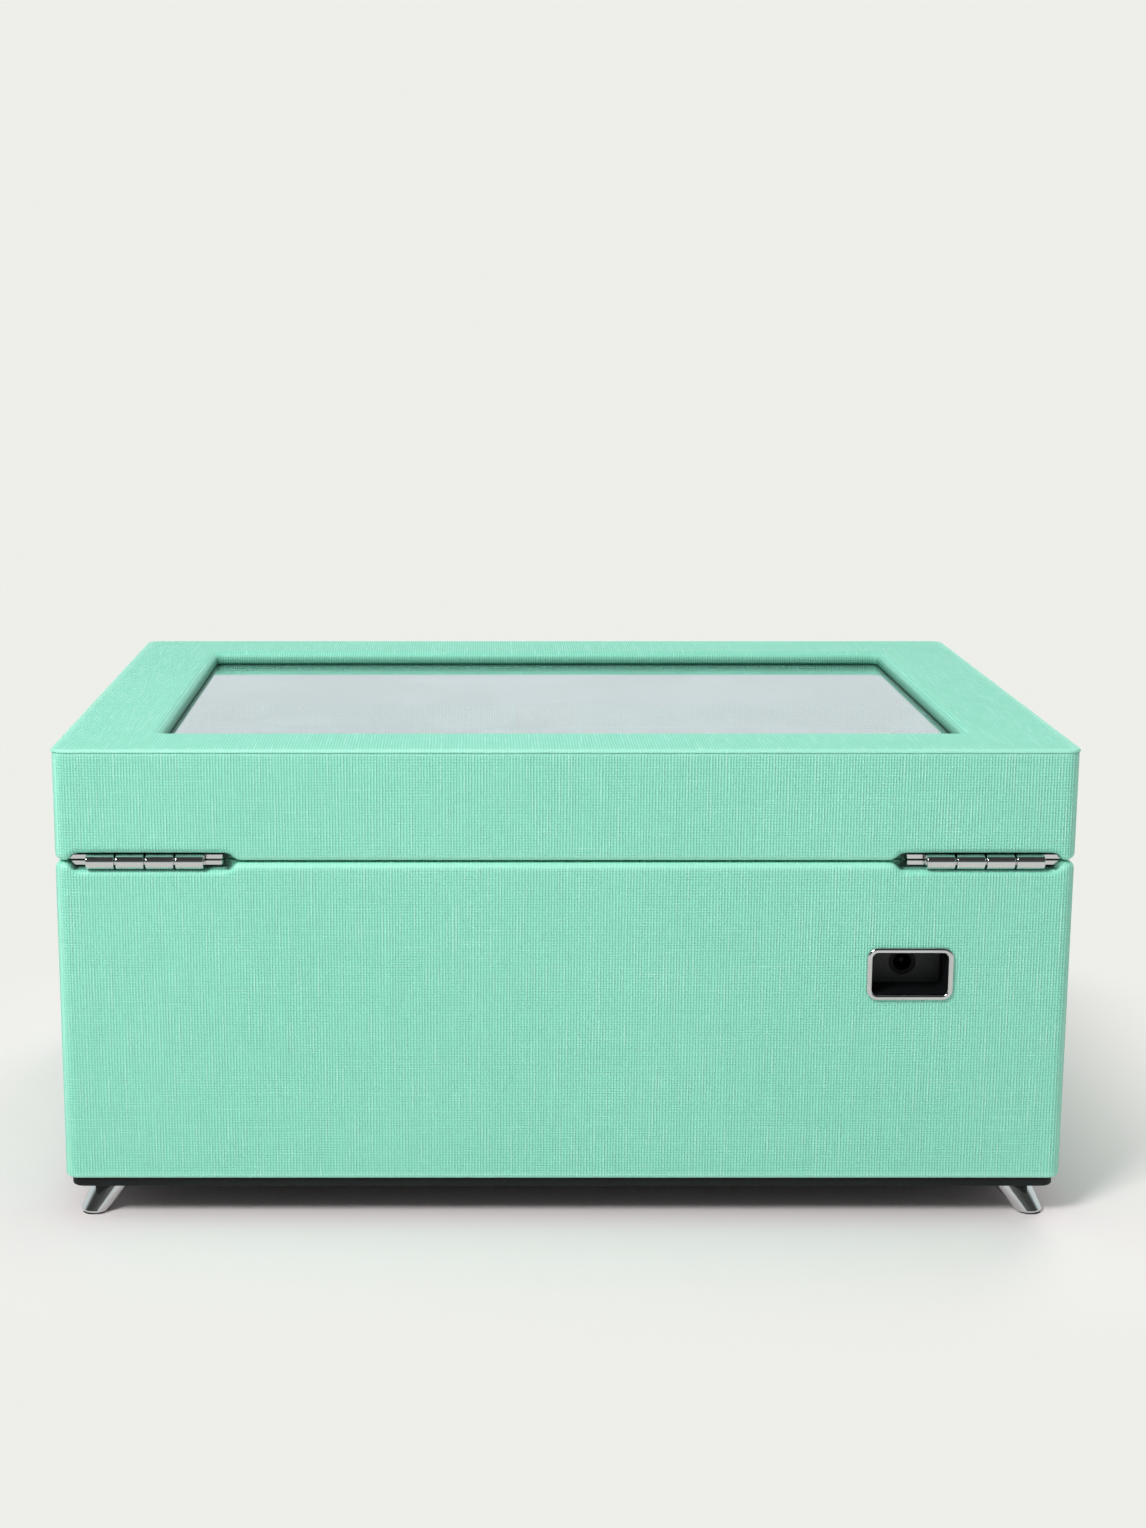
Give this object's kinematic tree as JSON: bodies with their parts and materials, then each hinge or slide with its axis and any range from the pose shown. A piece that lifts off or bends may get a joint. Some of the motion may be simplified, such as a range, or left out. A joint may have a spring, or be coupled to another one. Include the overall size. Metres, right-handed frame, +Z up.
{
  "type": "watch and jewellery box",
  "caption": "Leatherette watch and jewellery box with a hinged glass lid, a tilted watch winder, watch cushions, ring rolls and a tray, on splayed chrome feet.",
  "frame": {"origin": "on the floor, under the middle of the box", "axes": "+X along the width, +Y to the rear with the hinges, +Z up; the front faces -Y"},
  "size_m": [0.3006, 0.2184, 0.1446],
  "materials": {
    "leatherette": "embossed linen grain, soft satin",
    "board": "fibreboard, cut edges",
    "lining": "brushed suede cloth",
    "cushion": "brushed suede cloth, stuffed",
    "chrome": "bright plated",
    "steel": "plated steel",
    "base_black": "black, fine grain",
    "pad_rubber": "matte",
    "sleeve_black": "black moulded",
    "winder_plastic": "charcoal moulded, fine texture",
    "bush_bronze": "sintered bronze",
    "glass": "clear float glass"
  },
  "bodies": {
    "box": {"body_cover": "leatherette", "rear_board": "board", "front_board": "board", "left_board": "board", "right_board": "board", "floor_board": "board", "deck_bearers": "board", "wall_lining": "lining", "floor_lining": "lining", "bay_divider": "lining", "storage_deck": "lining", "row_divider": "lining", "watch_dividers": "lining", "tray_divider": "lining", "watch_cushion_left": "cushion", "watch_cushion_middle": "cushion", "watch_cushion_right": "cushion", "ring_rolls": "cushion", "foot_rear_left": "chrome", "foot_rear_right": "chrome", "foot_front_left": "chrome", "foot_front_right": "chrome", "port_bezel": "chrome", "hinge_left_box_leaf": "chrome", "hinge_right_box_leaf": "chrome", "hinge_pins": "chrome", "lock_case": "chrome", "winder_ring": "chrome", "base_screws": "steel", "foot_screws": "steel", "hinge_box_screws": "steel", "lock_nut": "steel", "gearmotor": "steel", "base_plate": "base_black", "foot_pads": "pad_rubber", "port_sleeve": "sleeve_black", "power_socket": "sleeve_black", "mode_switch": "sleeve_black", "winder_housing": "winder_plastic", "winder_bottom": "winder_plastic", "spindle_bush": "bush_bronze"},
    "lid": {"lid_rear_rail": "board", "lid_front_rail": "board", "lid_left_rail": "board", "lid_right_rail": "board", "lid_top_cover": "leatherette", "lid_side_cover": "leatherette", "glass_pane": "glass", "glass_retainer": "lining", "lid_lining": "lining", "hinge_left_lid_leaf": "chrome", "hinge_right_lid_leaf": "chrome", "hinge_lid_screws": "steel", "lock_strike": "steel"},
    "drum": {"drum": "winder_plastic", "drum_spindle": "steel", "drum_cushion": "cushion"},
    "dial": {"mode_dial": "winder_plastic"},
    "lock": {"lock_barrel": "chrome", "lock_hook": "steel"}
  },
  "joints": [
    {"name": "lid_hinge", "type": "hinge", "parent": "box", "child": "lid", "pos_m": [0, 0.107, 0.111], "axis": [-1, 0, 0], "range_deg": [0, 100]},
    {"name": "drum_spin", "type": "hinge", "parent": "box", "child": "drum", "pos_m": [-0.091, -0.006, 0.08207], "axis": [0, -0.6428, 0.766], "continuous": true},
    {"name": "dial_turn", "type": "hinge", "parent": "box", "child": "dial", "pos_m": [-0.091, -0.06695, 0.05446], "axis": [0, 0, -1], "range_deg": [0, 270]},
    {"name": "lock_turn", "type": "hinge", "parent": "box", "child": "lock", "pos_m": [0, -0.1, 0.097], "axis": [0, -1, 0], "range_deg": [0, 90]}
  ]
}
